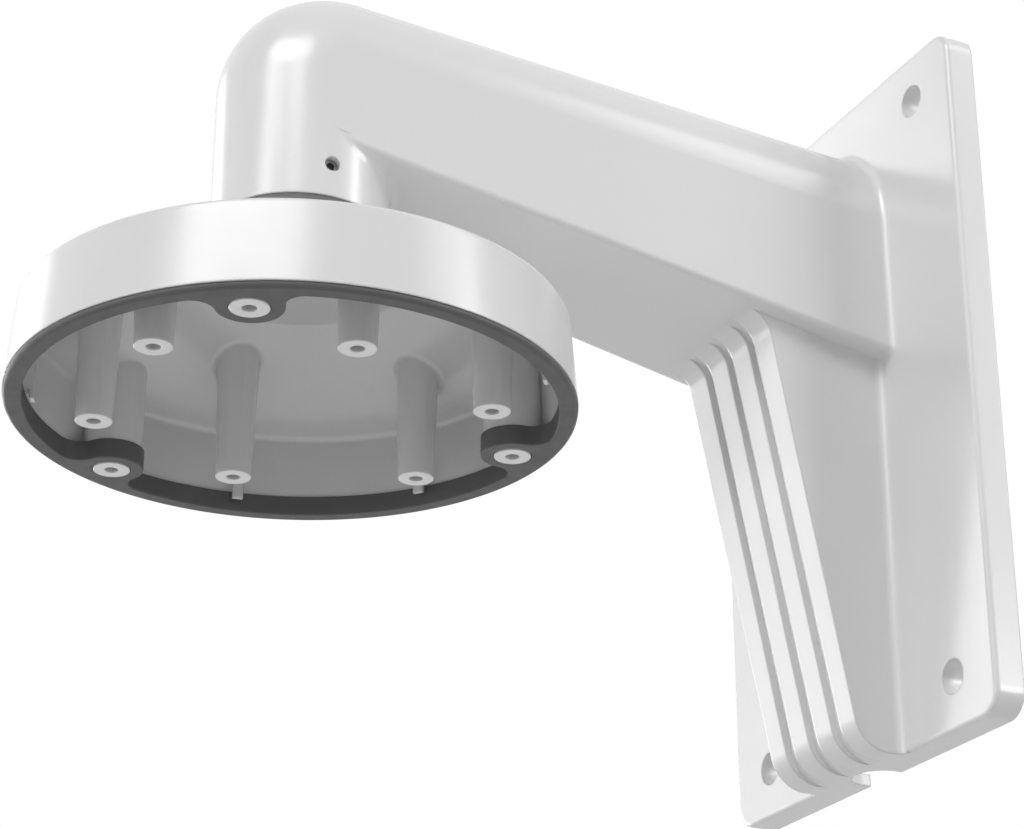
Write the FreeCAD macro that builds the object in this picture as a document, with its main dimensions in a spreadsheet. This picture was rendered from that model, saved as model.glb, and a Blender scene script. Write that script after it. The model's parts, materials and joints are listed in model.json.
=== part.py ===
"""Wall bracket for a dome camera: a hollow cast arm on a wall plate, and a threaded mounting cap below it.

Frame, in millimetres: X to the right for someone who faces the wall, Y into the wall, Z up. The wall is
the plane Y = 0, and the origin is the centre of the four wall holes on that plane.
"""
import FreeCAD, Part
import math
import os
import re
import Sketcher

SIZES = (
    ("plate_width", 123.0, "wall plate, across"),
    ("plate_height", 190.0, "wall plate, upright"),
    ("plate_thickness", 8.2, "wall plate, front face to wall"),
    ("plate_corner_radius", 6.5, "corners of the plate's outline"),
    ("plate_edge_round", 1.2, "round along the plate's front edge"),
    ("plate_skin", 3.0, "front skin over the hollow back"),
    ("plate_rim", 3.2, "rim that rests on the wall"),
    ("wall_hole_diameter", 9.0, "four holes for the wall screws"),
    ("wall_hole_side_inset", 17.5, "wall hole's axis in from the plate's side"),
    ("wall_hole_end_inset", 13.5, "wall hole's axis in from the plate's end"),
    ("wall_boss_diameter", 18.0, "boss behind each wall hole"),
    ("back_rib_width", 2.4, "ribs in the hollow back"),
    ("back_rib_height", 40.0, "ribs above and below the middle"),
    ("neck_reach", 166.1, "wall to the neck's axis"),
    ("neck_wall", 5.68, "neck's wall round its threaded bore"),
    ("neck_end_height", 26.05, "neck's open end"),
    ("bend_radius", 7.5, "elbow's centre line"),
    ("bend_height", 63.0, "height of the elbow's turning centre"),
    ("arm_slope", 6.6, "fall of the arm's centre line, degrees"),
    ("arm_plate_width", 56.0, "arm where it meets the plate"),
    ("arm_wall", 3.2, "wall of the hollow arm"),
    ("arm_edge_round", 1.5, "round along the arm's lower edges"),
    ("neck_root_round", 3.0, "hollow round between neck and underside"),
    ("underside_height", 43.3, "arm's flat underside at the neck's axis"),
    ("underside_slope", 10.7, "fall of the underside, degrees"),
    ("gusset_reach", 38.9, "gusset's front at the origin's height"),
    ("gusset_slope", 11.1, "lean of the gusset's front, degrees"),
    ("gusset_top_width", 43.0, "gusset below the arm"),
    ("gusset_bottom_width", 40.6, "gusset at its lower end"),
    ("gusset_foot_round", 10.0, "round at the gusset's lower front edge"),
    ("junction_round", 2.0, "hollow round where arm and gusset meet the plate"),
    ("throat_round", 8.0, "hollow round between gusset and arm"),
    ("groove_pitch", 11.3, "three grooves down the gusset's front"),
    ("groove_top_width", 3.0, "groove below the arm"),
    ("groove_bottom_width", 3.9, "groove at the lower end"),
    ("groove_depth", 2.0, "groove below the front face"),
    ("notch_radius", 7.3, "cable notch at the wall"),
    ("notch_depth", 9.2, "cable notch, out from the wall"),
    ("thread_diameter", 33.4, "cap's threaded spigot"),
    ("thread_clearance", 0.12, "spigot to neck bore, each side"),
    ("thread_length", 18.0, "spigot above the cap's hub"),
    ("screw_diameter", 4.0, "tapped hole of the set screw"),
    ("screw_clearance", 0.05, "set screw to its hole, each side"),
    ("screw_rise", 9.05, "set screw's axis above the neck's end"),
    ("screw_recess", 1.7, "set screw below the neck's surface"),
    ("screw_tip_gap", 0.1, "set screw's tip to the spigot"),
    ("screw_socket", 2.0, "hexagon socket, across flats"),
    ("screw_socket_depth", 1.8, "hexagon socket"),
    ("seal_thickness", 2.0, "washer between neck and cap"),
    ("seal_inset", 0.3, "washer inside the neck's edge"),
    ("seal_clearance", 0.3, "washer to the spigot, each side"),
    ("cap_diameter", 140.0, "cap at its open rim"),
    ("cap_wall_lean", 1.7, "cap's wall leans in from rim to crown"),
    ("cap_height", 47.21, "cap from its rim to the top of its hub"),
    ("cap_wall_height", 22.41, "cap's upright wall"),
    ("cap_hub_rise", 2.05, "hub above the crown's foot"),
    ("cap_skin", 2.9, "crown, measured upright"),
    ("cap_crown_wall", 3.3, "cap's wall below the crown"),
    ("cap_rim_wall", 4.0, "cap's wall above the rubber ring"),
    ("cap_lip", 1.0, "cap's wall outside the rubber ring, down to its flange"),
    ("cap_flat_diameter", 60.0, "flat ceiling round the cable hole"),
    ("cap_cable_diameter", 24.0, "cable hole through hub and spigot"),
    ("cap_edge_round", 1.2, "round between wall and crown"),
    ("cap_hub_round", 2.5, "hollow round at the hub's foot"),
    ("cap_ceiling_round", 2.0, "hollow round inside, wall to ceiling"),
    ("gasket_thickness", 4.6, "rubber ring in the rim"),
    ("gasket_width", 4.9, "rubber ring, outside to inside"),
    ("gasket_clearance", 0.1, "rubber ring to the metal beside it"),
    ("gasket_flange", 1.0, "rubber ring's flange below the cap's wall"),
    ("gasket_flange_inset", 0.2, "flange inside the cap's outside"),
    ("gasket_bevel", 0.6, "bevel round the flange's lower edge"),
    ("lobe_radius", 8.1, "rubber round an ear boss"),
    ("lobe_blend", 5.0, "hollow round beside each lobe"),
    ("ear_inset", 10.5, "ear boss's axis in from the cap's outside"),
    ("ear_column_diameter", 15.0, "column that carries an ear boss"),
    ("ear_tip_diameter", 9.4, "ear boss through the rubber"),
    ("ear_tip_drop", 0.8, "ear boss below the rim"),
    ("boss_tip_diameter", 9.2, "tall boss at its tip"),
    ("boss_root_diameter", 12.0, "tall boss at the ceiling"),
    ("boss_root_round", 1.5, "hollow round where a tall boss meets the ceiling"),
    ("boss_drop", 0.9, "tall boss below the rim"),
    ("boss_pair_across", 85.0, "two tall bosses beside the axis"),
    ("boss_four_across", 46.8, "four tall bosses, across"),
    ("boss_four_along", 86.0, "four tall bosses, wall to front"),
    ("tap_diameter", 3.5, "blind holes in all bosses"),
    ("tap_depth", 10.0, "blind holes in all bosses"),
    ("rib_width", 2.8, "locating ribs inside the wall"),
    ("rib_reach", 3.3, "locating ribs, in from the wall"),
    ("rib_lip_drop", 2.5, "locating ribs below the gasket's seat"),
    ("rib_angle", 37.5, "locating ribs either side of an ear, degrees"),
)

ALIAS = re.compile(r"[a-z]+(?:_[a-z]+)+")
ACROSS = FreeCAD.Vector(1, 0, 0)
OUTWARD = FreeCAD.Vector(0, -1, 0)
UPWARD = FreeCAD.Vector(0, 0, 1)
PLANES = {
    "level": FreeCAD.Rotation(UPWARD, 0),
    "front": FreeCAD.Rotation(ACROSS, 90),
    "side": FreeCAD.Rotation(FreeCAD.Vector(1, 1, 1), 120),
}
EAR_ANGLES = (90, 210, 330)

doc = FreeCAD.newDocument("camera_wall_bracket")
sheet = doc.addObject("Spreadsheet::Sheet", "Sizes")


def fill_sheet():
    """Write the driving dimensions, one alias to a row."""
    for row, (alias, number, note) in enumerate(SIZES, start=1):
        sheet.set(f"A{row}", note)
        sheet.set(f"B{row}", str(number))
        sheet.setAlias(f"B{row}", alias)
    doc.recompute()


def full(text):
    """Spell each alias in a formula out as a cell of the sheet."""
    return ALIAS.sub(lambda match: "Sizes." + match.group(0), text)


def value(text):
    """Work a formula out as a plain number."""
    result = sheet.evalExpression(full(text))
    return float(getattr(result, "Value", result))


def bind(item, **formulas):
    """Tie properties to formulas; two underscores stand for a dot in a property's path."""
    for path, text in formulas.items():
        item.setExpression(path.replace("__", "."), full(text))


def place(item, across="0", out="0", up="0"):
    """Tie an object's position to formulas."""
    bind(item, Placement__Base__x=across, Placement__Base__y=out, Placement__Base__z=up)


def pin(sketch, kind, geometry, end, text):
    """Fix one coordinate of a point in a sketch by a formula."""
    index = sketch.addConstraint(Sketcher.Constraint(kind, -1, 1, geometry, end, value(text)))
    sketch.setExpression(f"Constraints[{index}]", full(text))


def new_sketch(name, plane, body=None):
    """Make an empty sketch on one of the three main planes, free or inside a body."""
    if body is None:
        sketch = doc.addObject("Sketcher::SketchObject", name)
        sketch.Placement = FreeCAD.Placement(FreeCAD.Vector(), PLANES[plane])
        return sketch
    sketch = body.newObject("Sketcher::SketchObject", name)
    role = {"level": "XY_Plane", "front": "XZ_Plane", "side": "YZ_Plane"}[plane]
    origin_plane = [item for item in body.Origin.OriginFeatures if item.Role == role][0]
    sketch.AttachmentSupport = [(origin_plane, "")]
    sketch.MapMode = "FlatFace"
    return sketch


def outline(sketch, corners, arcs=None):
    """Draw a closed outline. arcs gives the height of the centre of the arc that starts at a corner."""
    arcs = arcs or {}
    points = [FreeCAD.Vector(value(u), value(v), 0) for u, v in corners]
    first = sketch.GeometryCount
    count = len(points)
    for k, start in enumerate(points):
        end = points[(k + 1) % count]
        if k in arcs:
            index = sketch.addGeometry(arc_about(start, end, value(arcs[k])))
        else:
            index = sketch.addGeometry(Part.LineSegment(start, end))
        pin(sketch, "DistanceX", index, 1, corners[k][0])
        pin(sketch, "DistanceY", index, 1, corners[k][1])
    for k in range(count):
        follower = first + (k + 1) % count
        sketch.addConstraint(Sketcher.Constraint("Coincident", first + k, 2, follower, 1))
        if k in arcs:
            pin(sketch, "DistanceY", first + k, 3, arcs[k])


def arc_about(start, end, height):
    """Counter-clockwise arc between two points with its centre at a height on their bisector."""
    middle = (start + end) / 2
    span = end - start
    if abs(span.x) > 1e-9:
        centre = FreeCAD.Vector(middle.x - span.y / span.x * (height - middle.y), height, 0)
    else:
        centre = FreeCAD.Vector(middle.x, height, 0)
    low = math.atan2(start.y - centre.y, start.x - centre.x)
    high = math.atan2(end.y - centre.y, end.x - centre.x)
    if high <= low:
        high += 2 * math.pi
    circle = Part.Circle(centre, UPWARD, (start - centre).Length)
    return Part.ArcOfCircle(circle, low, high)


def round_hole(sketch, diameter, across="0", up="0"):
    """Draw a circle with its size and centre tied to formulas."""
    centre = FreeCAD.Vector(value(across), value(up), 0)
    index = sketch.addGeometry(Part.Circle(centre, UPWARD, value(diameter) / 2))
    pin(sketch, "DistanceX", index, 3, across)
    pin(sketch, "DistanceY", index, 3, up)
    size = sketch.addConstraint(Sketcher.Constraint("Diameter", index, value(diameter)))
    sketch.setExpression(f"Constraints[{size}]", full(diameter))


def extrude(name, sketch, direction, length, symmetric=False):
    """Extrude a free sketch into a solid."""
    solid = doc.addObject("Part::Extrusion", name)
    solid.Base = sketch
    solid.DirMode = "Custom"
    solid.Dir = direction
    solid.Solid = True
    solid.Symmetric = symmetric
    bind(solid, LengthFwd=length)
    return solid


def cylinder(name, diameter, height, across="0", out="0", up="0", rotation=None):
    """Make a cylinder tied to formulas, along Z unless turned."""
    solid = doc.addObject("Part::Cylinder", name)
    if rotation:
        solid.Placement = FreeCAD.Placement(FreeCAD.Vector(), rotation)
    bind(solid, Radius=f"({diameter}) / 2", Height=height)
    place(solid, across, out, up)
    return solid


def box(name, width, depth, height, across, out, up):
    """Make a box centred on X, from its near face in Y and its lower face in Z."""
    solid = doc.addObject("Part::Box", name)
    bind(solid, Length=width, Width=depth, Height=height)
    place(solid, f"{across} - ({width}) / 2", out, up)
    return solid


def fuse(name, solids):
    """Join solids into one."""
    joined = doc.addObject("Part::MultiFuse", name)
    joined.Shapes = solids
    joined.Refine = True
    return joined


def cut(name, base, tool):
    """Take a tool away from a solid."""
    rest = doc.addObject("Part::Cut", name)
    rest.Base = base
    rest.Tool = tool
    return rest


def common(name, base, tool):
    """Keep what two solids share."""
    shared = doc.addObject("Part::Common", name)
    shared.Base = base
    shared.Tool = tool
    return shared


def nearest_edge(shape, point):
    """Number of the edge nearest to a point."""
    vertex = Part.Vertex(*point)
    gaps = [edge.distToShape(vertex)[0] for edge in shape.Edges]
    return gaps.index(min(gaps)) + 1


def rounded(name, base, radius, points):
    """Round the edges of a solid that pass nearest to the points."""
    doc.recompute()
    edges = sorted({nearest_edge(base.Shape, point) for point in points})
    fillet = doc.addObject("Part::Fillet", name)
    fillet.Base = base
    fillet.Edges = [(edge, value(radius), value(radius)) for edge in edges]
    return fillet


# Formulas that several features share

BORE = "(thread_diameter + 2 * thread_clearance)"
NECK = f"({BORE} + 2 * neck_wall)"
NECK_Y = "(-neck_reach)"
BEND_Y = "(bend_radius - neck_reach)"
COS_ARM = "cos(arm_slope * 1 deg)"
SIN_ARM = "sin(arm_slope * 1 deg)"
TAN_UNDER = "tan(underside_slope * 1 deg)"
COS_UNDER = "cos(underside_slope * 1 deg)"
TAN_GUSSET = "tan(gusset_slope * 1 deg)"
COS_GUSSET = "cos(gusset_slope * 1 deg)"
PLATE_FOOT = "(-plate_height / 2)"
ELBOW_END_Y = f"({BEND_Y} + bend_radius * {SIN_ARM})"
ELBOW_END_Z = f"(bend_height + bend_radius * {COS_ARM})"
ARM_TO_PLATE = f"((neck_reach - bend_radius - bend_radius * {SIN_ARM} - plate_thickness) / {COS_ARM})"
ARM_TO_END = f"({ARM_TO_PLATE} + arm_plate_width / 2)"
HUB_TOP = "(neck_end_height - seal_thickness)"
CROWN_FOOT = f"({HUB_TOP} - cap_hub_rise)"
CAP_RIM = f"({HUB_TOP} - cap_height)"
CAP_TOP = "(cap_diameter / 2 - cap_wall_lean)"
CROWN_EDGE = f"({CAP_RIM} + cap_wall_height)"
CROWN_SLOPE = f"(({CROWN_FOOT} - {CROWN_EDGE}) / ({CAP_TOP} - {NECK} / 2))"
LIP_END = f"({CAP_RIM} + gasket_flange)"
GASKET_TOP = f"({CAP_RIM} + gasket_thickness)"
GASKET_SEAT = "(cap_diameter / 2 - cap_lip)"
GASKET_OUTSIDE = f"({GASKET_SEAT} - gasket_clearance)"
GASKET_INSIDE = f"({GASKET_OUTSIDE} - gasket_width)"
FLANGE_OUTSIDE = "(cap_diameter / 2 - gasket_flange_inset)"
EAR_RADIUS = "(cap_diameter / 2 - ear_inset)"
HOLE_ACROSS = "(plate_width / 2 - wall_hole_side_inset)"
HOLE_UPRIGHT = "(plate_height / 2 - wall_hole_end_inset)"
SCREW_HEIGHT = "(neck_end_height + screw_rise)"


def crown_at(radius):
    """Height of the cap's conical crown at a radius."""
    return f"({CROWN_EDGE} + ({CAP_TOP} - ({radius})) * {CROWN_SLOPE})"


def underside_drop(lift):
    """From the elbow's turning centre down to the underside, square to the arm, less a lift."""
    rise = f"bend_height - underside_height - ({lift})"
    run = f"{TAN_UNDER} * bend_radius"
    return f"(({rise} + {run}) / ({COS_ARM} + {TAN_UNDER} * {SIN_ARM}))"


def centre_line_at(out):
    """Height of the arm's centre line at a place along Y."""
    return f"({ELBOW_END_Z} - tan(arm_slope * 1 deg) * (({out}) - {ELBOW_END_Y}))"


def throat_height(inset):
    """Height where the gusset's front, moved in by an inset, meets the underside."""
    reach = f"(gusset_reach - ({inset}) / {COS_GUSSET})"
    return f"((underside_height - {TAN_UNDER} * (neck_reach - {reach})) / (1 - {TAN_UNDER} * {TAN_GUSSET}))"


def gusset_front(inset, height):
    """Y of the gusset's front, moved in by an inset, at a height."""
    return f"(({inset}) / {COS_GUSSET} - gusset_reach - {TAN_GUSSET} * ({height}))"


def underside_at(out):
    """Height of the underside at a place along Y."""
    return f"(underside_height - {TAN_UNDER} * (({out}) + neck_reach))"


def arm_radius(inset, along):
    """Half width of the arm, moved in by an inset, at a way along its centre line from the elbow."""
    widening = f"((arm_plate_width - {NECK}) / 2 / {ARM_TO_PLATE})"
    return f"({NECK} / 2 - ({inset}) + {widening} * ({along}))"


def arm_crown(name, inset):
    """The arm's half-round top: half a cone from behind the wall's plane down to the elbow."""
    crown = doc.addObject("Part::Cone", name)
    crown.Placement = FreeCAD.Placement(FreeCAD.Vector(), FreeCAD.Rotation(ACROSS, 1))
    bind(crown, Radius1=arm_radius(inset, ARM_TO_END), Radius2=arm_radius(inset, "0"), Height=ARM_TO_END,
         Angle="180", Placement__Rotation__Angle="90 - arm_slope")
    place(crown, "0", f"{ELBOW_END_Y} + {ARM_TO_END} * {COS_ARM}",
          f"{ELBOW_END_Z} - {ARM_TO_END} * {SIN_ARM}")
    return crown


def arm_sides(name, inset, lead, root):
    """The arm below its centre line: what a plan square to the arm and a side profile share.

    The plan starts by a lead before the elbow's end, and root gives the profile's corners at the neck.
    """
    near = arm_radius(inset, f"-({lead})")
    far = arm_radius(inset, ARM_TO_END)
    plan = new_sketch(f"{name}_plan", "level")
    plan.Placement = FreeCAD.Placement(FreeCAD.Vector(), FreeCAD.Rotation(-ACROSS, 1))
    bind(plan, Placement__Rotation__Angle="arm_slope")
    place(plan, "0", ELBOW_END_Y, ELBOW_END_Z)
    start = f"-({lead})"
    outline(plan, [(f"-{near}", start), (near, start), (far, ARM_TO_END), (f"-{far}", ARM_TO_END)])
    column = extrude(f"{name}_column", plan, -UPWARD, "2 * arm_plate_width")
    bind(column, Dir__y=f"-{SIN_ARM}", Dir__z=f"-{COS_ARM}")
    end = "(arm_plate_width / 4)"
    profile = new_sketch(f"{name}_profile", "side")
    outline(profile, root + [
        (end, f"{underside_at(end)} + ({inset}) / {COS_UNDER}"),
        (end, centre_line_at(end)),
        (ELBOW_END_Y, ELBOW_END_Z),
    ])
    slab = extrude(f"{name}_slab", profile, ACROSS, "2 * arm_plate_width", symmetric=True)
    return common(name, column, slab)


def arm_outside():
    """The arm below its centre line, from within the neck, with rounded lower edges."""
    halfway = f"({ARM_TO_PLATE} / 2)"
    across = value(arm_radius("0", halfway))
    out = value(f"{BEND_Y} + {halfway}")
    level = value(underside_at(f"{BEND_Y} + {halfway}"))
    edges = [(side * across, out, level) for side in (-1, 1)]
    root = [(NECK_Y, "bend_height"), (NECK_Y, "underside_height")]
    sides = arm_sides("arm_sides", "0", f"{NECK} / 4", root)
    return rounded("arm_sides_rounded", sides, "arm_edge_round", edges)


def arm_hollow():
    """The arm's inside, from the elbow to behind the wall's plane."""
    drop = underside_drop(f"(arm_wall / {COS_UNDER})")
    root = [(f"({BEND_Y} - {drop} * {SIN_ARM})", f"(bend_height - {drop} * {COS_ARM})")]
    sides = arm_sides("arm_hollow_sides", "arm_wall", "0", root)
    return fuse("arm_hollow", [sides, arm_crown("arm_hollow_crown", "arm_wall")])


def elbow_cheeks():
    """Fill the inside of the elbow between its upright sides."""
    lap = "(1.5 * arm_edge_round)"
    drop = f"({underside_drop('0')} - {lap})"
    sketch = new_sketch("cheek_profile", "side")
    outline(sketch, [
        (NECK_Y, f"underside_height + {lap}"),
        (f"{BEND_Y} - {drop} * {SIN_ARM}", f"bend_height - {drop} * {COS_ARM}"),
        (ELBOW_END_Y, ELBOW_END_Z),
        (NECK_Y, "bend_height"),
    ], {2: "bend_height"})
    return extrude("elbow_cheeks", sketch, ACROSS, NECK, symmetric=True)


def neck_root(sides):
    """The neck where the arm's underside runs into it, with a hollow round between them."""
    column = cylinder("neck_column", NECK, "2 * bend_height", "0", NECK_Y, "neck_end_height")
    back = f"({NECK_Y} + {NECK} / 2)"
    meeting = (0, value(back), value(underside_at(back)))
    sharp = fuse("neck_root_sharp", [column, sides])
    hollow = rounded("neck_root_rounded", sharp, "neck_root_round", [meeting])
    height = "(bend_height + underside_height) / 2 - neck_end_height"
    keep = box("neck_root_keep", f"2 * {NECK}", f"2 * {NECK}", height,
               "0", f"{NECK_Y} - {NECK}", "neck_end_height")
    return common("neck_root", hollow, keep)


def elbow(name, diameter):
    """A round section turned about the elbow's centre, from the neck over to the arm."""
    sketch = new_sketch(f"{name}_section", "level")
    place(sketch, "0", BEND_Y, "bend_height")
    half_chord = f"sqrt(({diameter})^2 / 4 - bend_radius^2)"
    outline(sketch, [(f"-{half_chord}", "0"), (half_chord, "0")], {0: "-bend_radius"})
    turned = doc.addObject("Part::Revolution", name)
    turned.Source = sketch
    turned.Axis = -ACROSS
    turned.Solid = True
    bind(turned, Angle="90 + arm_slope", Base__y=BEND_Y, Base__z="bend_height")
    return turned


def gusset_block(name, front_inset):
    """The gusset with its foot round and throat, between drafted sides."""
    throat = throat_height(front_inset)
    throat_y = gusset_front(front_inset, throat)
    toe = f"({throat_y} - 1.5 * throat_round)"
    above = f"({throat} + throat_round)"
    corners = [
        ("0", PLATE_FOOT),
        (gusset_front(front_inset, PLATE_FOOT), PLATE_FOOT),
        (throat_y, throat),
        (toe, underside_at(toe)),
        (toe, above),
        ("0", above),
    ]
    sketch = new_sketch(f"{name}_profile", "side")
    outline(sketch, corners)
    block = extrude(f"{name}_slab", sketch, ACROSS, "arm_plate_width", symmetric=True)
    foot = [(0, value(corners[1][0]), value(corners[1][1]))]
    footed = rounded(f"{name}_foot", block, "gusset_foot_round", foot)
    hollow = [(0, value(corners[2][0]), value(corners[2][1]))]
    throated = rounded(f"{name}_throat", footed, "throat_round", hollow)
    sides = drafted_strip(f"{name}_sides", "0", "gusset_bottom_width", "gusset_top_width",
                          "2 * gusset_reach")
    return common(name, throated, sides)


def drafted_strip(name, across, bottom_width, top_width, depth):
    """Upright strip out from the wall, whose width changes evenly from the plate's foot to the throat."""
    throat = throat_height("0")
    top = f"({throat} + 2 * throat_round)"
    growth = f"((({top_width}) - ({bottom_width})) / ({throat} - {PLATE_FOOT}))"
    half_low = f"(({bottom_width}) / 2)"
    half_high = f"(({bottom_width} + {growth} * ({top} - {PLATE_FOOT})) / 2)"
    corners = [
        (f"{across} - {half_low}", PLATE_FOOT),
        (f"{across} + {half_low}", PLATE_FOOT),
        (f"{across} + {half_high}", top),
        (f"{across} - {half_high}", top),
    ]
    sketch = new_sketch(f"{name}_outline", "front")
    outline(sketch, corners)
    return extrude(name, sketch, OUTWARD, depth)


def gusset():
    """The gusset with three grooves that run out at the throat and under the foot."""
    front = gusset_block("gusset_front", "0")
    strips = []
    for number in (-1, 0, 1):
        across = f"({number} * groove_pitch)"
        strips.append(drafted_strip(f"groove_{number + 2}", across, "groove_bottom_width",
                                    "groove_top_width", "2 * gusset_reach"))
    bars = cut("gusset_bars", front, fuse("grooves", strips))
    core = gusset_block("gusset_core", "groove_depth")
    return fuse("gusset", [bars, core])


def gusset_hollow():
    """The gusset's inside, open to the wall and into the arm."""
    front_inset = "(groove_depth + arm_wall)"
    floor = f"({PLATE_FOOT} + arm_wall)"
    ceiling = f"({throat_height('0')} + 1.5 * throat_round)"
    corners = [
        ("arm_wall", floor),
        (gusset_front(front_inset, floor), floor),
        (gusset_front(front_inset, ceiling), ceiling),
        ("arm_wall", ceiling),
    ]
    sketch = new_sketch("gusset_hollow_profile", "side")
    outline(sketch, corners)
    width = "gusset_bottom_width - 2 * arm_wall"
    block = extrude("gusset_hollow_slab", sketch, ACROSS, width, symmetric=True)
    foot = [(0, value(corners[1][0]), value(corners[1][1]))]
    return rounded("gusset_hollow", block, "gusset_foot_round - arm_wall", foot)


def back_hollow():
    """The recess in the plate's back, with its bosses and ribs left standing."""
    half_width = "(plate_width / 2 - plate_rim)"
    half_height = "(plate_height / 2 - plate_rim)"
    arm_half = "(arm_plate_width / 2)"
    arm_axis = centre_line_at("-plate_thickness")
    arm_floor = underside_at("0")
    low_half = "(gusset_bottom_width / 2)"
    high_half = "(gusset_top_width / 2)"
    corners = [
        (low_half, f"-{half_height}"),
        (half_width, f"-{half_height}"),
        (half_width, half_height),
        (f"-{half_width}", half_height),
        (f"-{half_width}", f"-{half_height}"),
        (f"-{low_half}", f"-{half_height}"),
        (f"-{high_half}", arm_floor),
        (f"-{arm_half}", arm_floor),
        (f"-{arm_half}", arm_axis),
        (arm_half, arm_axis),
        (arm_half, arm_floor),
        (high_half, arm_floor),
    ]
    sketch = new_sketch("back_hollow_outline", "front")
    flipped = [(f"-({u})", v) for u, v in corners]
    outline(sketch, flipped[::-1], {2: arm_axis})
    depth = "(plate_thickness - plate_skin)"
    recess = extrude("back_recess", sketch, OUTWARD, depth)
    standing = []
    for side in (-1, 1):
        for level in (-1, 1):
            label = f"{'right' if side > 0 else 'left'}_{'upper' if level > 0 else 'lower'}"
            standing.append(cylinder(f"wall_boss_{label}", "wall_boss_diameter", depth,
                                     f"{side} * {HOLE_ACROSS}", "0", f"{level} * {HOLE_UPRIGHT}",
                                     PLANES["front"]))
            width = "(plate_width / 2 - gusset_bottom_width / 2)"
            centre = f"({side} * (plate_width / 2 + gusset_bottom_width / 2) / 2)"
            standing.append(box(f"back_rib_{label}", width, depth, "back_rib_width", centre,
                                f"-{depth}", f"{level} * back_rib_height - back_rib_width / 2"))
    return cut("back_hollow", recess, fuse("back_standing", standing))


def wall_plate():
    """The plate with rounded corners and front edge."""
    half_width = "(plate_width / 2)"
    half_height = "(plate_height / 2)"
    corners = [(f"-{half_width}", f"-{half_height}"), (half_width, f"-{half_height}"),
               (half_width, half_height), (f"-{half_width}", half_height)]
    sketch = new_sketch("plate_outline", "front")
    outline(sketch, corners)
    slab = extrude("plate_slab", sketch, OUTWARD, "plate_thickness")
    middle = value("plate_thickness / -2")
    posts = [(value(u), middle, value(v)) for u, v in corners]
    cornered = rounded("plate_cornered", slab, "plate_corner_radius", posts)
    front = value("-plate_thickness")
    return rounded("plate", cornered, "plate_edge_round", [(0, front, value(half_height))])


def gusset_strip(name, side):
    """Hollow round between the plate and one side of the gusset, as a strip that follows the draft."""
    edge = f"({side} * gusset_bottom_width / 2)"
    inside = f"({edge} - {side} * junction_round)"
    outside = f"({edge} + {side} * junction_round)"
    behind = "(plate_edge_round - plate_thickness)"
    front = "(-plate_thickness)"
    reach = "(-plate_thickness - junction_round)"
    corners = [(inside, behind), (outside, behind), (outside, front), (edge, reach), (inside, reach)]
    round_start = 2
    if side < 0:
        corners.reverse()
        round_start = 1
    sketch = new_sketch(f"{name}_outline", "level")
    place(sketch, "0", "0", PLATE_FOOT)
    outline(sketch, corners, {round_start: reach})
    rise = f"({throat_height('0')} - {PLATE_FOOT})"
    strip = extrude(name, sketch, UPWARD, rise)
    bind(strip, Dir__x=f"{side} * (gusset_top_width - gusset_bottom_width) / 2 / {rise}")
    return strip


def arm_on_plate(sides):
    """The plate and the arm, with a hollow round where they meet."""
    front = "(-plate_thickness)"
    crown = (0, value(front), value(f"{centre_line_at(front)} + arm_plate_width / 2"))
    sharp = fuse("arm_on_plate_sharp", [wall_plate(), sides, arm_crown("arm_crown", "0")])
    return rounded("arm_on_plate", sharp, "junction_round", [crown])


def wall_arm():
    """One hollow casting: plate, arm, gusset, elbow and neck."""
    neck = cylinder("neck", NECK, "bend_height - neck_end_height", "0", NECK_Y, "neck_end_height")
    sides = arm_outside()
    arm = fuse("arm_block", [
        arm_on_plate(sides),
        elbow("elbow", NECK),
        elbow_cheeks(),
        neck,
        neck_root(sides),
    ])
    below = [gusset(), gusset_strip("right_strip", 1), gusset_strip("left_strip", -1)]
    behind = box("behind_wall", "2 * plate_width", "plate_height", "2 * plate_height",
                 "0", "0", "-plate_height")
    outside = cut("casting_outside", fuse("casting_block", [arm] + below), behind)

    bore_height = "bend_height - neck_end_height"
    hollows = [
        arm_hollow(),
        elbow("elbow_hollow", BORE),
        cylinder("neck_bore", BORE, bore_height, "0", NECK_Y, "neck_end_height"),
        gusset_hollow(),
        back_hollow(),
        cable_notch(),
        cylinder("screw_hole", "screw_diameter", f"{NECK} / 2", "0", NECK_Y, SCREW_HEIGHT,
                 FreeCAD.Rotation(FreeCAD.Vector(0, 1, 0), 90)),
    ]
    for side in (-1, 1):
        for level in (-1, 1):
            label = f"{'right' if side > 0 else 'left'}_{'upper' if level > 0 else 'lower'}"
            hollows.append(cylinder(f"wall_hole_{label}", "wall_hole_diameter", "plate_thickness",
                                    f"{side} * {HOLE_ACROSS}", "0", f"{level} * {HOLE_UPRIGHT}",
                                    PLANES["front"]))
    casting = cut("wall_arm", outside, fuse("casting_hollows", hollows))
    return casting


def cable_notch():
    """Half-round notch through the gusset's floor, open to the wall."""
    centre = "(notch_radius - notch_depth)"
    height = "2 * arm_wall"
    low = f"({PLATE_FOOT})"
    post = cylinder("notch_round", "2 * notch_radius", height, "0", centre, low)
    slot = box("notch_slot", "2 * notch_radius", "notch_depth", height, "0", centre, low)
    return fuse("cable_notch", [post, slot])


def ring_outline(name, corners):
    """Sketch of a half section beside the cap's axis."""
    sketch = new_sketch(name, "side")
    place(sketch, "0", NECK_Y, "0")
    outline(sketch, corners)
    return sketch


def turn(name, sketch):
    """Turn a half section round the neck's axis."""
    turned = doc.addObject("Part::Revolution", name)
    turned.Source = sketch
    turned.Axis = UPWARD
    turned.Angle = 360
    turned.Solid = True
    bind(turned, Base__y=NECK_Y)
    return turned


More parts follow.
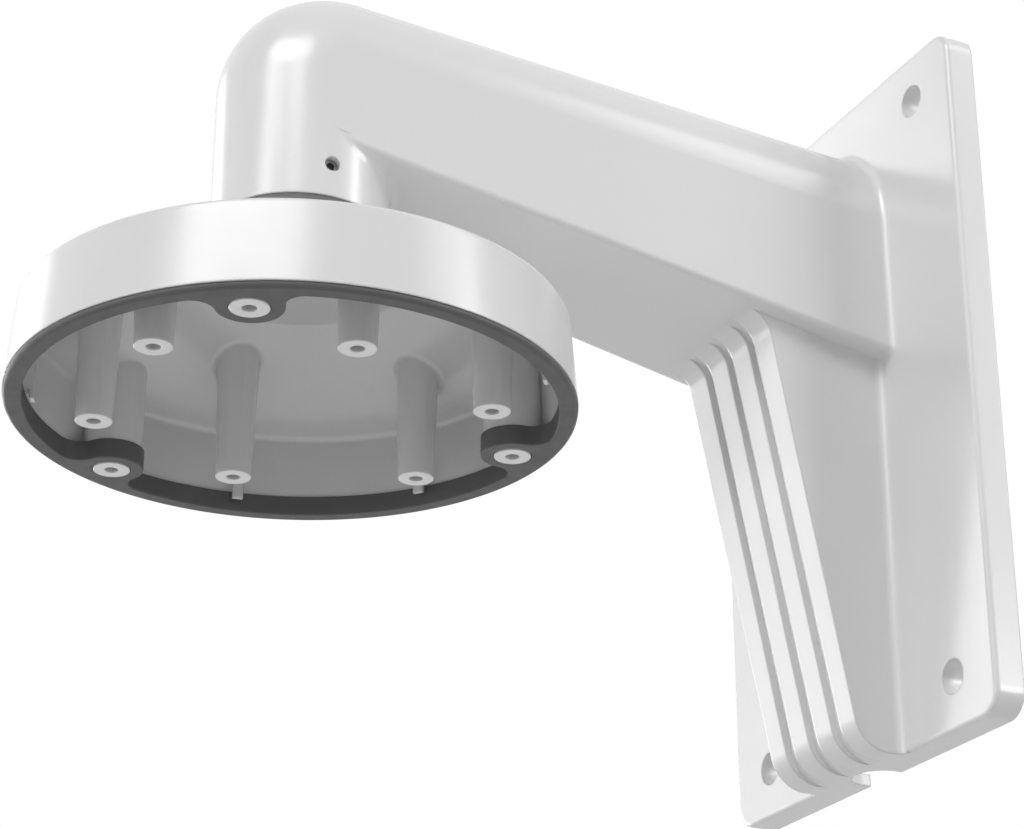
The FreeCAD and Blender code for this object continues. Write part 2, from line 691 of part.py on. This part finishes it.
def cap_shell():
    """Wall, crown, hub and threaded spigot of the cap in one turned section."""
    flat = "(cap_flat_diameter / 2)"
    ceiling = f"({crown_at(flat)} - cap_skin)"
    inner_top = f"({CAP_TOP} - cap_crown_wall)"
    spigot_top = f"({HUB_TOP} + thread_length)"
    corners = [
        ("cap_cable_diameter / 2", ceiling),
        (flat, ceiling),
        (inner_top, f"{crown_at(inner_top)} - cap_skin"),
        ("cap_diameter / 2 - cap_rim_wall", GASKET_TOP),
        (GASKET_SEAT, GASKET_TOP),
        (GASKET_SEAT, LIP_END),
        ("cap_diameter / 2", LIP_END),
        (CAP_TOP, CROWN_EDGE),
        (f"{NECK} / 2", CROWN_FOOT),
        (f"{NECK} / 2", HUB_TOP),
        ("thread_diameter / 2", HUB_TOP),
        ("thread_diameter / 2", spigot_top),
        ("cap_cable_diameter / 2", spigot_top),
    ]
    shell = turn("cap_section", ring_outline("cap_section_outline", corners))
    axis_y = value(NECK_Y)
    inner_corner, wall_corner, hub_corner = [
        [(value(radius), axis_y, value(height))] for radius, height in (corners[2], corners[7], corners[8])]
    edged = rounded("cap_edged", shell, "cap_edge_round", wall_corner)
    footed = rounded("cap_footed", edged, "cap_hub_round", hub_corner)
    return rounded("cap_shell", footed, "cap_ceiling_round", inner_corner)


def cap_envelope():
    """Everything below the crown, to trim what hangs from the ceiling."""
    corners = [
        ("0", f"{CAP_RIM} - cap_height"),
        (CAP_TOP, f"{CAP_RIM} - cap_height"),
        (CAP_TOP, f"{CROWN_EDGE} - cap_skin / 2"),
        (f"{NECK} / 2", f"{CROWN_FOOT} - cap_skin / 2"),
        ("0", f"{CROWN_FOOT} - cap_skin / 2"),
    ]
    return turn("cap_envelope", ring_outline("cap_envelope_outline", corners))


def boss_places():
    """Name and place of each tall boss, from the cap's axis."""
    places = [("beside_left", "-boss_pair_across / 2", "0"), ("beside_right", "boss_pair_across / 2", "0")]
    for side, across in (("left", "-boss_four_across / 2"), ("right", "boss_four_across / 2")):
        places.append((f"front_{side}", across, "-boss_four_along / 2"))
        places.append((f"rear_{side}", across, "boss_four_along / 2"))
    return places


def ear_place(angle):
    """Place of an ear boss, from the cap's axis."""
    return f"({EAR_RADIUS} * cos({angle} deg))", f"({EAR_RADIUS} * sin({angle} deg))"


def cap_bosses():
    """What hangs from the ceiling, and the blind holes from below."""
    hanging = []
    holes = []
    tip = f"({CAP_RIM} - boss_drop)"
    for label, across, along in boss_places():
        boss = doc.addObject("Part::Cone", f"tall_boss_{label}")
        bind(boss, Radius1="boss_tip_diameter / 2", Radius2="boss_root_diameter / 2",
             Height=f"{CROWN_FOOT} - {tip}")
        place(boss, across, f"{NECK_Y} + {along}", tip)
        hanging.append(boss)
        holes.append(cylinder(f"tall_hole_{label}", "tap_diameter", "tap_depth", across,
                              f"{NECK_Y} + {along}", tip))
    ear_tip = f"({CAP_RIM} - ear_tip_drop)"
    for number, angle in enumerate(EAR_ANGLES, start=1):
        across, along = ear_place(angle)
        along = f"{NECK_Y} + {along}"
        hanging.append(cylinder(f"ear_column_{number}", "ear_column_diameter",
                                f"{CROWN_FOOT} - {GASKET_TOP}", across, along, GASKET_TOP))
        hanging.append(cylinder(f"ear_tip_{number}", "ear_tip_diameter", f"{GASKET_TOP} - {ear_tip}",
                                across, along, ear_tip))
        holes.append(cylinder(f"ear_hole_{number}", "tap_diameter", "tap_depth", across, along, ear_tip))
    return hanging, holes


def cap_ribs():
    """Locating ribs inside the wall; each has a lip that holds the rubber ring from inside."""
    inner = "(cap_diameter / 2 - cap_rim_wall - rib_reach)"
    wall = "(cap_diameter / 2 - cap_rim_wall / 2)"
    lip_end = f"({GASKET_INSIDE} - gasket_clearance)"
    ribs = []
    for ear, ear_angle in enumerate(EAR_ANGLES, start=1):
        for side, turn_angle in (("a", f"({ear_angle} + rib_angle)"), ("b", f"({ear_angle} - rib_angle)")):
            blade = ("blade", f"{wall} - {inner}", GASKET_TOP, f"{CROWN_FOOT} - {GASKET_TOP}")
            lip = ("lip", f"{lip_end} - {inner}", f"{GASKET_TOP} - rib_lip_drop", "rib_lip_drop")
            for kind, length, low, height in (blade, lip):
                rib = doc.addObject("Part::Box", f"rib_{kind}_{ear}{side}")
                rib.Placement = FreeCAD.Placement(FreeCAD.Vector(), FreeCAD.Rotation(UPWARD, 1))
                bind(rib, Length=length, Width="rib_width", Height=height,
                     Placement__Rotation__Angle=turn_angle)
                cos_rib = f"cos({turn_angle} * 1 deg)"
                sin_rib = f"sin({turn_angle} * 1 deg)"
                place(rib, f"{inner} * {cos_rib} + rib_width / 2 * {sin_rib}",
                      f"{NECK_Y} + {inner} * {sin_rib} - rib_width / 2 * {cos_rib}", low)
                ribs.append(rib)
    return ribs


def boss_roots():
    """A point near the edge between each tall boss and the ceiling."""
    radius = value("(boss_tip_diameter + boss_root_diameter) / 4")
    points = []
    for _, across, along in boss_places():
        x = value(across)
        y = value(along) - radius
        points.append((x, value(NECK_Y) + y, value(f"{crown_at(math.hypot(x, y))} - cap_skin")))
    return points


def mount_cap():
    """The cast cap that screws into the neck and takes the camera's base."""
    hanging, holes = cap_bosses()
    inside = common("cap_hanging", fuse("cap_hanging_long", hanging + cap_ribs()), cap_envelope())
    whole = fuse("cap_whole", [cap_shell(), inside])
    rooted = rounded("cap_rooted", whole, "boss_root_round", boss_roots())
    return cut("mount_cap", rooted, fuse("cap_holes", holes))


def cap_gasket():
    """Rubber ring in the cap's rim, with a flange below the wall and a lobe round each ear boss."""
    body = doc.addObject("PartDesign::Body", "cap_gasket")
    place(body, "0", NECK_Y, CAP_RIM)
    ring = new_sketch("gasket_ring", "level", body)
    round_hole(ring, f"2 * {GASKET_OUTSIDE}")
    round_hole(ring, f"2 * {GASKET_INSIDE}")
    pad = body.newObject("PartDesign::Pad", "gasket_ring_pad")
    pad.Profile = ring
    bind(pad, Length="gasket_thickness")
    rim = new_sketch("gasket_rim", "level", body)
    round_hole(rim, f"2 * {FLANGE_OUTSIDE}")
    round_hole(rim, f"{GASKET_OUTSIDE} + {GASKET_INSIDE}")
    doc.recompute()
    flange = body.newObject("PartDesign::Pad", "gasket_flange_pad")
    flange.Profile = rim
    bind(flange, Length="gasket_flange")
    doc.recompute()
    edge = nearest_edge(flange.Shape, (0, value(f"-{FLANGE_OUTSIDE}"), 0))
    bevel = body.newObject("PartDesign::Chamfer", "gasket_bevelled")
    bevel.Base = (flange, [f"Edge{edge}"])
    bind(bevel, Size="gasket_bevel")
    ears = new_sketch("gasket_lobes", "level", body)
    for angle in EAR_ANGLES:
        round_hole(ears, "2 * lobe_radius", *ear_place(angle))
    doc.recompute()
    lobes = body.newObject("PartDesign::Pad", "gasket_lobe_pad")
    lobes.Profile = ears
    bind(lobes, Length="gasket_thickness")
    doc.recompute()
    inner = value(GASKET_INSIDE)
    reach = value(EAR_RADIUS)
    spread = math.acos((inner ** 2 + reach ** 2 - value("lobe_radius") ** 2) / (2 * inner * reach))
    level = value("(gasket_thickness + gasket_flange) / 2")
    corners = []
    for angle in EAR_ANGLES:
        for way in (-1, 1):
            turned = math.radians(angle) + way * spread
            corners.append((inner * math.cos(turned), inner * math.sin(turned), level))
    edges = sorted({nearest_edge(lobes.Shape, corner) for corner in corners})
    blend = body.newObject("PartDesign::Fillet", "gasket_blends")
    blend.Base = (lobes, [f"Edge{edge}" for edge in edges])
    bind(blend, Radius="lobe_blend")
    doc.recompute()
    holes = new_sketch("gasket_holes", "level", body)
    for angle in EAR_ANGLES:
        round_hole(holes, "ear_tip_diameter + 2 * gasket_clearance", *ear_place(angle))
    pocket = body.newObject("PartDesign::Pocket", "gasket_hole_pocket")
    pocket.Profile = holes
    pocket.Type = "ThroughAll"
    pocket.Reversed = True
    return body


def neck_seal():
    """Rubber washer between the neck's end and the cap's hub."""
    body = doc.addObject("PartDesign::Body", "neck_seal")
    place(body, "0", NECK_Y, HUB_TOP)
    sketch = new_sketch("seal_ring", "level", body)
    round_hole(sketch, f"{NECK} - 2 * seal_inset")
    round_hole(sketch, "thread_diameter + 2 * seal_clearance")
    pad = body.newObject("PartDesign::Pad", "seal_pad")
    pad.Profile = sketch
    bind(pad, Length="seal_thickness")
    return body


def set_screw():
    """Grub screw in the neck that locks the cap's spigot."""
    body = doc.addObject("PartDesign::Body", "set_screw")
    tip = "(thread_diameter / 2 + screw_tip_gap)"
    length = f"({NECK} / 2 - screw_recess - {tip})"
    body.Placement = FreeCAD.Placement(FreeCAD.Vector(), FreeCAD.Rotation(FreeCAD.Vector(0, 1, 0), 90))
    place(body, tip, NECK_Y, SCREW_HEIGHT)
    sketch = new_sketch("screw_round", "level", body)
    round_hole(sketch, "screw_diameter - 2 * screw_clearance")
    pad = body.newObject("PartDesign::Pad", "screw_pad")
    pad.Profile = sketch
    bind(pad, Length=length)
    socket = new_sketch("screw_socket_outline", "level", body)
    bind(socket, AttachmentOffset__Base__z=length)
    radius = "screw_socket / sqrt(3)"
    corners = [(f"{radius} * cos({60 * k} deg)", f"{radius} * sin({60 * k} deg)") for k in range(6)]
    outline(socket, corners)
    doc.recompute()
    pocket = body.newObject("PartDesign::Pocket", "screw_socket_pocket")
    pocket.Profile = socket
    bind(pocket, Length="screw_socket_depth")
    return body


def check(parts):
    """Stop with a plain message if a feature failed or a sub-part isn't one valid solid."""
    for item in doc.Objects:
        if "Invalid" in item.State or "Error" in item.State:
            raise RuntimeError(f"{item.Name} failed: {item.State}")
    for item in parts:
        shape = item.Shape
        if shape.isNull() or not shape.isValid() or len(shape.Solids) != 1:
            raise RuntimeError(f"{item.Label} isn't one valid solid")


fill_sheet()
parts = [wall_arm(), mount_cap(), cap_gasket(), neck_seal(), set_screw()]
doc.recompute()
check(parts)
os.makedirs("parts", exist_ok=True)
for item in parts:
    item.Shape.exportStep(f"parts/{item.Label}.step")
    print(f"{item.Label}: {item.Shape.Volume / 1000:.1f} cm3")
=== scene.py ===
"""Studio picture of a camera wall bracket, seen from below and from its right.

The frame's pieces get their finish, the rubber ring is drawn as the photo shows it, and a floor, a pale
surrounding, soft lamps and the photo's camera stand round them. Lengths are in metres and angles in degrees.
An azimuth of 0 looks at the bracket from its front (-Y), and one of 90 from its right (+X).
"""
import json
import math

import bmesh
import bpy
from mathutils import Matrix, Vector


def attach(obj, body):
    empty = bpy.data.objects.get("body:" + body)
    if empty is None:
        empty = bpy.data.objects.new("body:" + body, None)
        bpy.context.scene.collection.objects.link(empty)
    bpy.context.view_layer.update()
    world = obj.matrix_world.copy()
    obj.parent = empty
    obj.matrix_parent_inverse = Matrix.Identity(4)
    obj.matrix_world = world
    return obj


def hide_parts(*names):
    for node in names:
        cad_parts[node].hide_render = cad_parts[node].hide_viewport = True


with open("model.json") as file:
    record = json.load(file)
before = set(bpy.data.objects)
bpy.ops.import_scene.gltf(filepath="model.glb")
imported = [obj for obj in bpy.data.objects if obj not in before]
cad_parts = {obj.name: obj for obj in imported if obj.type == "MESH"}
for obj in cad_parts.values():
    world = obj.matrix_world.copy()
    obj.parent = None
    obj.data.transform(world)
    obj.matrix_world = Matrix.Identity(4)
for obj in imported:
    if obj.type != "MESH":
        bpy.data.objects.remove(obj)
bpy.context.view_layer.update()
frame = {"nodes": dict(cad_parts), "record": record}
MOUNTS = {mount["name"]: mount for mount in frame["record"]["mounts"]}

# Camera, solved from the cap's rim, the plate's corners and the bosses in the photo
PICTURE_WIDTH = 1024
FOCAL_PIXELS = 2606.8
SENSOR_WIDTH = 36.0
CAMERA_PLACE = (0.54909, -0.36548, -0.28261)
CAMERA_AZIMUTH = 64.767
CAMERA_ELEVATION = -24.011
CAMERA_CLIP_START = 0.01

# Floor and surroundings
FLOOR_HEIGHT = -0.36
FLOOR_REACH = 6.0
FLOOR_GREY = (0.70, 0.70, 0.70, 1.0)
FLOOR_PALE = 0.93
FLOOR_EVEN_SHARE = 0.75
WHITE = (1.0, 1.0, 1.0, 1.0)
AMBIENT = 0.11

# Lamps: name, azimuth, elevation, width as seen from the target, and watts
LAMP_TARGET = Vector((0.0, -0.10, 0.02))
LAMP_DISTANCE = 2.0
LAMPS = (
    ("near_top", 33, 42, 25, 8.4),
    ("left_low", 337, -15, 25, 8.3),
    ("camera_top", 58, 42, 25, 7.2),
    ("wall_side", 127, 4, 22, 7.1),
    ("wall_streak", 142, 23, 16, 4.9),
    ("front_low", 7, 4, 22, 4.7),
    ("wall_top", 136, 42, 25, 3.7),
    ("front_streak", 22, 23, 16, 2.6),
    ("left_side", 307, 4, 22, 2.3),
    ("left_streak", 307, 23, 16, 0.84),
    ("left_wide", 285, 0, 25, 10.0),
    ("plate_gloss", 295, 24, 25, 3.0),
    ("back_wide", 205, 12, 25, 8.0),
)

# Finishes: the lowest and the highest of each range, colours as linear red, green and blue
NOISE_RANGE = (0.3, 0.7)
PAINT_OUTSIDE = ((0.805, 0.806, 0.804), (0.817, 0.818, 0.816))
# Painted shade: the paint's colour inside the cap's hollow, darker than outside
PAINTED_SHADE_HOLLOW = ((0.690, 0.692, 0.690), (0.715, 0.717, 0.714))
PAINT_TIPS = ((0.93, 0.93, 0.93), (0.96, 0.96, 0.96))
PAINT_ROUGHNESS = (0.21, 0.24)
PAINT_IOR = 1.85
RING_GREY = (0.095, 0.115)
SEAL_GREY = (0.14, 0.16)
RUBBER_BLUE = 1.03
RUBBER_ROUGHNESS = (0.45, 0.58)
STEEL = ((0.20, 0.20, 0.21), (0.30, 0.30, 0.31))
STEEL_ROUGHNESS = (0.35, 0.5)
BEVEL_SAMPLES = 6

# The cap's hollow, which gets painted shade, and the bosses' tips in it, told apart by height and by the
# normal's upward share
CAP_CENTRE = Vector(MOUNTS["camera_ears"]["pos_m"][:2])
HOLLOW_RADIUS = 0.0665
HOLLOW_TOP = 0.0215
HOLLOW_FACING = 0.1
TIP_HEIGHT = -0.0205
TIP_FACING = -0.9

# Rubber ring in the cap's rim, with a lobe round each ear that takes a camera's screw
EAR_RADIUS = MOUNTS["camera_ears"]["dims"]["pcd_mm"] / 2000
EAR_COUNT = MOUNTS["camera_ears"]["dims"]["count"]
EAR_SPACING = 360 / EAR_COUNT
FIRST_EAR_ANGLE = 90.0
EAR_ANGLES = [FIRST_EAR_ANGLE + EAR_SPACING * k for k in range(EAR_COUNT)]
EAR_HOLE_RADIUS = 0.0048
LOBE_RADIUS = 0.0081
LOBE_BLEND = 0.005
RING_INSIDE = 0.0653
RING_OUTSIDE = 0.0689
RING_TOP = -0.01857
RING_FACE = -0.0238
RING_FACE_MARGIN = 0.0002
RING_EDGE_ROUND = 0.00035
FLANGE_OUTSIDE = 0.0699
FLANGE_TOP = -0.0225
FLANGE_ROUND = 0.0011
SHARP_ANGLE = 40.0

# Steps along the ring's lines, in degrees, and round its edges, as counts
RING_STEP = 1.5
OUTSIDE_STEP = 1.0
LOBE_STEP = 5.0
BLEND_STEP = 6.0
HOLE_STEP = 7.5
EDGE_STEPS = 6
FLANGE_STEPS = 8


class Tree:
    """The node tree of a material or a world, emptied, with short ways to fill it."""

    def __init__(self, owner):
        owner.use_nodes = True
        self.nodes = owner.node_tree.nodes
        self.links = owner.node_tree.links
        self.nodes.clear()

    def add(self, kind, inputs=None, **settings):
        """Add a node; each input is fed by another node's socket or set to a plain value."""
        node = self.nodes.new(kind)
        for name, value in settings.items():
            setattr(node, name, value)
        for key, value in (inputs or {}).items():
            if isinstance(value, bpy.types.NodeSocket):
                self.links.new(value, node.inputs[key])
            else:
                node.inputs[key].default_value = value
        return node

    def place(self):
        """Coordinates and normal of the object itself, by name."""
        return self.add("ShaderNodeTexCoord").outputs

    def noise(self, scale, detail=2.0, roughness=0.5):
        """Noise over the object's own coordinates."""
        texture = self.add("ShaderNodeTexNoise", {
            "Vector": self.place()["Object"], "Scale": scale, "Detail": detail, "Roughness": roughness})
        return texture.outputs["Fac"]

    def spread(self, source, limits):
        """Map noise to a range of numbers."""
        ramp = self.add("ShaderNodeMapRange", {
            "Value": source, "From Min": NOISE_RANGE[0], "From Max": NOISE_RANGE[1],
            "To Min": limits[0], "To Max": limits[1]})
        return ramp.outputs["Result"]

    def mix(self, factor, first, second):
        """Mix two colours; the second is full where the factor is one."""
        node = self.add("ShaderNodeMix", {"Factor": factor, "A": first, "B": second}, data_type="RGBA")
        return node.outputs["Result"]

    def tint(self, source, colours):
        """A colour that wanders between two with the noise."""
        low, high = colours
        return self.mix(source, (*low, 1.0), (*high, 1.0))

    def mix_shaders(self, factor, first, second):
        """Mix two shaders; the second is full where the factor is one."""
        return self.add("ShaderNodeMixShader", {"Fac": factor, 1: first, 2: second}).outputs["Shader"]

    def calculate(self, operation, first, second):
        """One operation on two sockets or numbers."""
        return self.add("ShaderNodeMath", {0: first, 1: second}, operation=operation).outputs["Value"]

    def below(self, value, limit):
        """A mask that is on where a value is less than a limit."""
        return self.calculate("LESS_THAN", value, limit)

    def both(self, first, second):
        """A mask that is on where two masks are."""
        return self.calculate("MULTIPLY", first, second)

    def seen_rays(self):
        """One for the rays that show the surroundings: camera, glossy and transmission rays."""
        rays = self.add("ShaderNodeLightPath").outputs
        bounced = self.calculate("MAXIMUM", rays["Is Glossy Ray"], rays["Is Transmission Ray"])
        return self.calculate("MAXIMUM", rays["Is Camera Ray"], bounced)

    def coat(self, colour, roughness, relief, height, edge_radius=0.0):
        """Finish a material with a shader, fine relief and softened edges; returns the shader."""
        bump = self.add("ShaderNodeBump", {"Distance": height, "Height": relief})
        if edge_radius:
            bevel = self.add("ShaderNodeBevel", {"Radius": edge_radius}, samples=BEVEL_SAMPLES)
            self.links.new(bevel.outputs["Normal"], bump.inputs["Normal"])
        shader = self.add("ShaderNodeBsdfPrincipled", {
            "Base Color": colour, "Roughness": roughness, "Normal": bump.outputs["Normal"]})
        self.add("ShaderNodeOutputMaterial", {"Surface": shader.outputs["BSDF"]})
        return shader


def cap_inside(tree):
    """Masks over the object's own coordinates: the cap's hollow, where shade is painted into the paint's
    colour, and the level tips of its bosses.
    """
    place = tree.place()
    flat = tree.add("ShaderNodeVectorMath", {0: place["Object"], 1: (1.0, 1.0, 0.0)}, operation="MULTIPLY")
    away = tree.add("ShaderNodeVectorMath", {0: flat.outputs["Vector"], 1: (*CAP_CENTRE, 0.0)},
                    operation="DISTANCE").outputs["Value"]
    height = tree.add("ShaderNodeSeparateXYZ", {"Vector": place["Object"]}).outputs["Z"]
    facing = tree.add("ShaderNodeSeparateXYZ", {"Vector": place["Normal"]}).outputs["Z"]
    inward = tree.both(tree.below(height, HOLLOW_TOP), tree.below(facing, HOLLOW_FACING))
    hollow = tree.both(tree.below(away, HOLLOW_RADIUS), inward)
    level = tree.both(tree.below(height, TIP_HEIGHT), tree.below(facing, TIP_FACING))
    return hollow, tree.both(hollow, level)


def white_paint():
    """Semi-gloss white powder coat with a faint orange peel, with painted shade that greys it in the cap,
    and pale on its tips.
    """
    material = bpy.data.materials.new("white_paint")
    tree = Tree(material)
    hollow, tips = cap_inside(tree)
    speck = tree.noise(scale=700.0)
    # Painted shade: inside the cap's hollow the paint is mixed to a darker grey
    colour = tree.mix(hollow, tree.tint(speck, PAINT_OUTSIDE), tree.tint(speck, PAINTED_SHADE_HOLLOW))
    colour = tree.mix(tips, colour, tree.tint(speck, PAINT_TIPS))
    roughness = tree.spread(tree.noise(scale=300.0), PAINT_ROUGHNESS)
    peel = tree.noise(scale=900.0, roughness=0.4)
    shader = tree.coat(colour, roughness, peel, height=0.000004, edge_radius=0.0008)
    shader.inputs["IOR"].default_value = PAINT_IOR
    return material


def rubber(name, greys):
    """Matt dark grey moulded rubber with a trace of blue, between two greys."""
    material = bpy.data.materials.new(name)
    tree = Tree(material)
    colours = [(grey, grey, grey * RUBBER_BLUE) for grey in greys]
    colour = tree.tint(tree.noise(scale=90.0, detail=4.0), colours)
    roughness = tree.spread(tree.noise(scale=240.0), RUBBER_ROUGHNESS)
    grain = tree.noise(scale=2600.0, detail=3.0, roughness=0.6)
    tree.coat(colour, roughness, grain, height=0.00002, edge_radius=0.0002)
    return material


def screw_steel():
    """Blackened steel."""
    material = bpy.data.materials.new("screw_steel")
    tree = Tree(material)
    colour = tree.tint(tree.noise(scale=900.0, detail=3.0), STEEL)
    roughness = tree.spread(tree.noise(scale=1500.0), STEEL_ROUGHNESS)
    shader = tree.coat(colour, roughness, tree.noise(scale=3000.0), height=0.00002)
    shader.inputs["Metallic"].default_value = 1.0
    return material


def give_material(node, material):
    """Put one material on a CAD node in place of its own."""
    slots = frame["nodes"][node].data.materials
    slots.clear()
    slots.append(material)


def paint_nodes():
    """Give each CAD node the material of its slot; returns the materials by slot."""
    materials = {
        "white_paint": white_paint(),
        "dark_rubber": rubber("dark_rubber", RING_GREY),
        "screw_steel": screw_steel(),
    }
    for part in frame["record"]["subparts"]:
        give_material(part["node"], materials[part["material_slot"]])
    give_material("neck_seal", rubber("seal_rubber", SEAL_GREY))
    return materials


def add_object(name, data):
    """Put a new object into the scene."""
    thing = bpy.data.objects.new(name, data)
    bpy.context.scene.collection.objects.link(thing)
    return thing


def heading(angle):
    """Level direction at an angle from +X."""
    return Vector((math.cos(math.radians(angle)), math.sin(math.radians(angle))))


def arc(centre, radius, start, end, step, into=1):
    """Points along an arc, each with the way into the rubber: out from the centre (1) or to it (-1)."""
    count = round(abs(end - start) / step)
    headings = [heading(start + (end - start) * k / count) for k in range(count)]
    return [(centre + away * radius, away * into) for away in headings]


def ring_inside():
    """The ring's inner line, with a lobe round each ear and a hollow round on both sides of it."""
    hollow = RING_INSIDE - LOBE_BLEND
    reach = LOBE_RADIUS + LOBE_BLEND
    share = (hollow ** 2 + EAR_RADIUS ** 2 - reach ** 2) / (2 * hollow * EAR_RADIUS)
    aside = math.degrees(math.acos(share))
    across = hollow * math.sin(math.radians(aside))
    along = EAR_RADIUS - hollow * math.cos(math.radians(aside))
    facing = math.degrees(math.atan2(across, along))
    line = []
    for angle in EAR_ANGLES:
        before = angle - aside
        after = angle + aside
        ear = heading(angle) * EAR_RADIUS
        line += arc(heading(before) * hollow, LOBE_BLEND, before, angle + facing, BLEND_STEP)
        line += arc(ear, LOBE_RADIUS, angle + 180 + facing, angle + 180 - facing, LOBE_STEP, into=-1)
        line += arc(heading(after) * hollow, LOBE_BLEND, angle - facing, after, BLEND_STEP)
        line += arc(Vector((0, 0)), RING_INSIDE, after, before + EAR_SPACING, RING_STEP)
    return line


def rounded_side(radius, ledge=0.0, ledge_height=0.0, steps=EDGE_STEPS):
    """Profile from the ring's face up to its top: insets into the rubber and heights."""
    profile = [(radius + RING_FACE_MARGIN, RING_FACE)]
    for k in range(steps + 1):
        turn = math.radians(90 * k / steps)
        profile.append((radius * (1 - math.sin(turn)), RING_FACE + radius * (1 - math.cos(turn))))
    if ledge:
        profile += [(0.0, ledge_height), (ledge, ledge_height)]
    return profile + [(ledge, RING_TOP)]


def add_side(mesh, line, profile):
    """Skin a closed line along a profile; returns the edges at its two ends."""
    rows = []
    for inset, height in profile:
        places = [CAP_CENTRE + point + into * inset for point, into in line]
        rows.append([mesh.verts.new((*place, height)) for place in places])
    count = len(line)
    for low, high in zip(rows, rows[1:]):
        for k in range(count):
            after = (k + 1) % count
            mesh.faces.new((low[k], low[after], high[after], high[k]))
    return [[mesh.edges.get((row[k], row[(k + 1) % count])) for k in range(count)]
            for row in (rows[0], rows[-1])]


def add_ring(material):
    """The rubber ring with its inner line and face as in the photo, in place of the CAD's ring."""
    mesh = bmesh.new()
    outside = arc(Vector((0, 0)), FLANGE_OUTSIDE, 0, 360, OUTSIDE_STEP, into=-1)
    flange = rounded_side(FLANGE_ROUND, FLANGE_OUTSIDE - RING_OUTSIDE, FLANGE_TOP, FLANGE_STEPS)
    sides = [add_side(mesh, outside, flange),
             add_side(mesh, ring_inside(), rounded_side(RING_EDGE_ROUND))]
    for angle in EAR_ANGLES:
        hole = arc(heading(angle) * EAR_RADIUS, EAR_HOLE_RADIUS, 0, 360, HOLE_STEP)
        sides.append(add_side(mesh, hole, rounded_side(RING_EDGE_ROUND)))
    for end in (0, 1):
        edges = [edge for side in sides for edge in side[end]]
        bmesh.ops.triangle_fill(mesh, use_beauty=True, edges=edges)
    bmesh.ops.recalc_face_normals(mesh, faces=mesh.faces)
    for face in mesh.faces:
        face.smooth = True
    data = bpy.data.meshes.new("rubber_ring")
    mesh.to_mesh(data)
    mesh.free()
    data.set_sharp_from_angle(angle=math.radians(SHARP_ANGLE))
    data.materials.append(material)
    ring = add_object("rubber_ring", data)
    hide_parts("cap_gasket")
    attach(ring, "root")


def floor_material():
    """Pale and partly even to the eye, so that a shadow stays, and clear for rays from below."""
    material = bpy.data.materials.new("floor")
    tree = Tree(material)
    plain = tree.add("ShaderNodeBsdfDiffuse", {"Color": FLOOR_GREY}).outputs["BSDF"]
    pale = tree.add("ShaderNodeEmission", {"Color": WHITE, "Strength": FLOOR_PALE}).outputs["Emission"]
    clear = tree.add("ShaderNodeBsdfTransparent").outputs["BSDF"]
    from_below = tree.add("ShaderNodeNewGeometry").outputs["Backfacing"]
    share = tree.calculate("MULTIPLY", tree.seen_rays(), FLOOR_EVEN_SHARE)
    shown = tree.mix_shaders(share, plain, pale)
    tree.add("ShaderNodeOutputMaterial", {"Surface": tree.mix_shaders(from_below, shown, clear)})
    return material


def add_floor():
    """A plain level floor, well below the bracket."""
    mesh = bpy.data.meshes.new("floor")
    signs = ((-1, -1), (1, -1), (1, 1), (-1, 1))
    corners = [(x * FLOOR_REACH, y * FLOOR_REACH, FLOOR_HEIGHT) for x, y in signs]
    mesh.from_pydata(corners, [], [(0, 1, 2, 3)])
    mesh.materials.append(floor_material())
    add_object("floor", mesh)


def add_world():
    """White to the eye and in gloss, a weak even light for everything else."""
    world = bpy.data.worlds.new("studio")
    bpy.context.scene.world = world
    tree = Tree(world)
    seen, ambient = [
        tree.add("ShaderNodeBackground", {"Color": WHITE, "Strength": strength}).outputs["Background"]
        for strength in (1.0, AMBIENT)]
    tree.add("ShaderNodeOutputWorld", {"Surface": tree.mix_shaders(tree.seen_rays(), ambient, seen)})


def add_lamp(name, azimuth, elevation, width, watts):
    """A round soft box that faces the target from an azimuth and an elevation."""
    turn = math.radians(azimuth)
    rise = math.radians(elevation)
    away = Vector((math.sin(turn) * math.cos(rise), -math.cos(turn) * math.cos(rise), math.sin(rise)))
    light = bpy.data.lights.new(name, "AREA")
    light.shape = "DISK"
    light.size = 2 * LAMP_DISTANCE * math.tan(math.radians(width / 2))
    light.energy = watts
    lamp = add_object(name, light)
    lamp.location = LAMP_TARGET + away * LAMP_DISTANCE
    lamp.rotation_mode = "QUATERNION"
    lamp.rotation_quaternion = away.to_track_quat("Z", "Y")


def add_camera():
    """The camera at the photo's place, level and with the photo's angle of view."""
    camera = bpy.data.cameras.new("camera")
    camera.sensor_width = SENSOR_WIDTH
    camera.lens = FOCAL_PIXELS / PICTURE_WIDTH * SENSOR_WIDTH
    camera.clip_start = CAMERA_CLIP_START
    viewer = add_object("camera", camera)
    viewer.location = CAMERA_PLACE
    viewer.rotation_euler = (math.radians(90 - CAMERA_ELEVATION), 0.0, math.radians(CAMERA_AZIMUTH))
    bpy.context.scene.camera = viewer


materials = paint_nodes()
add_ring(materials["dark_rubber"])
add_floor()
add_world()
for lamp in LAMPS:
    add_lamp(*lamp)
add_camera()
bpy.context.scene.view_settings.view_transform = "Standard"
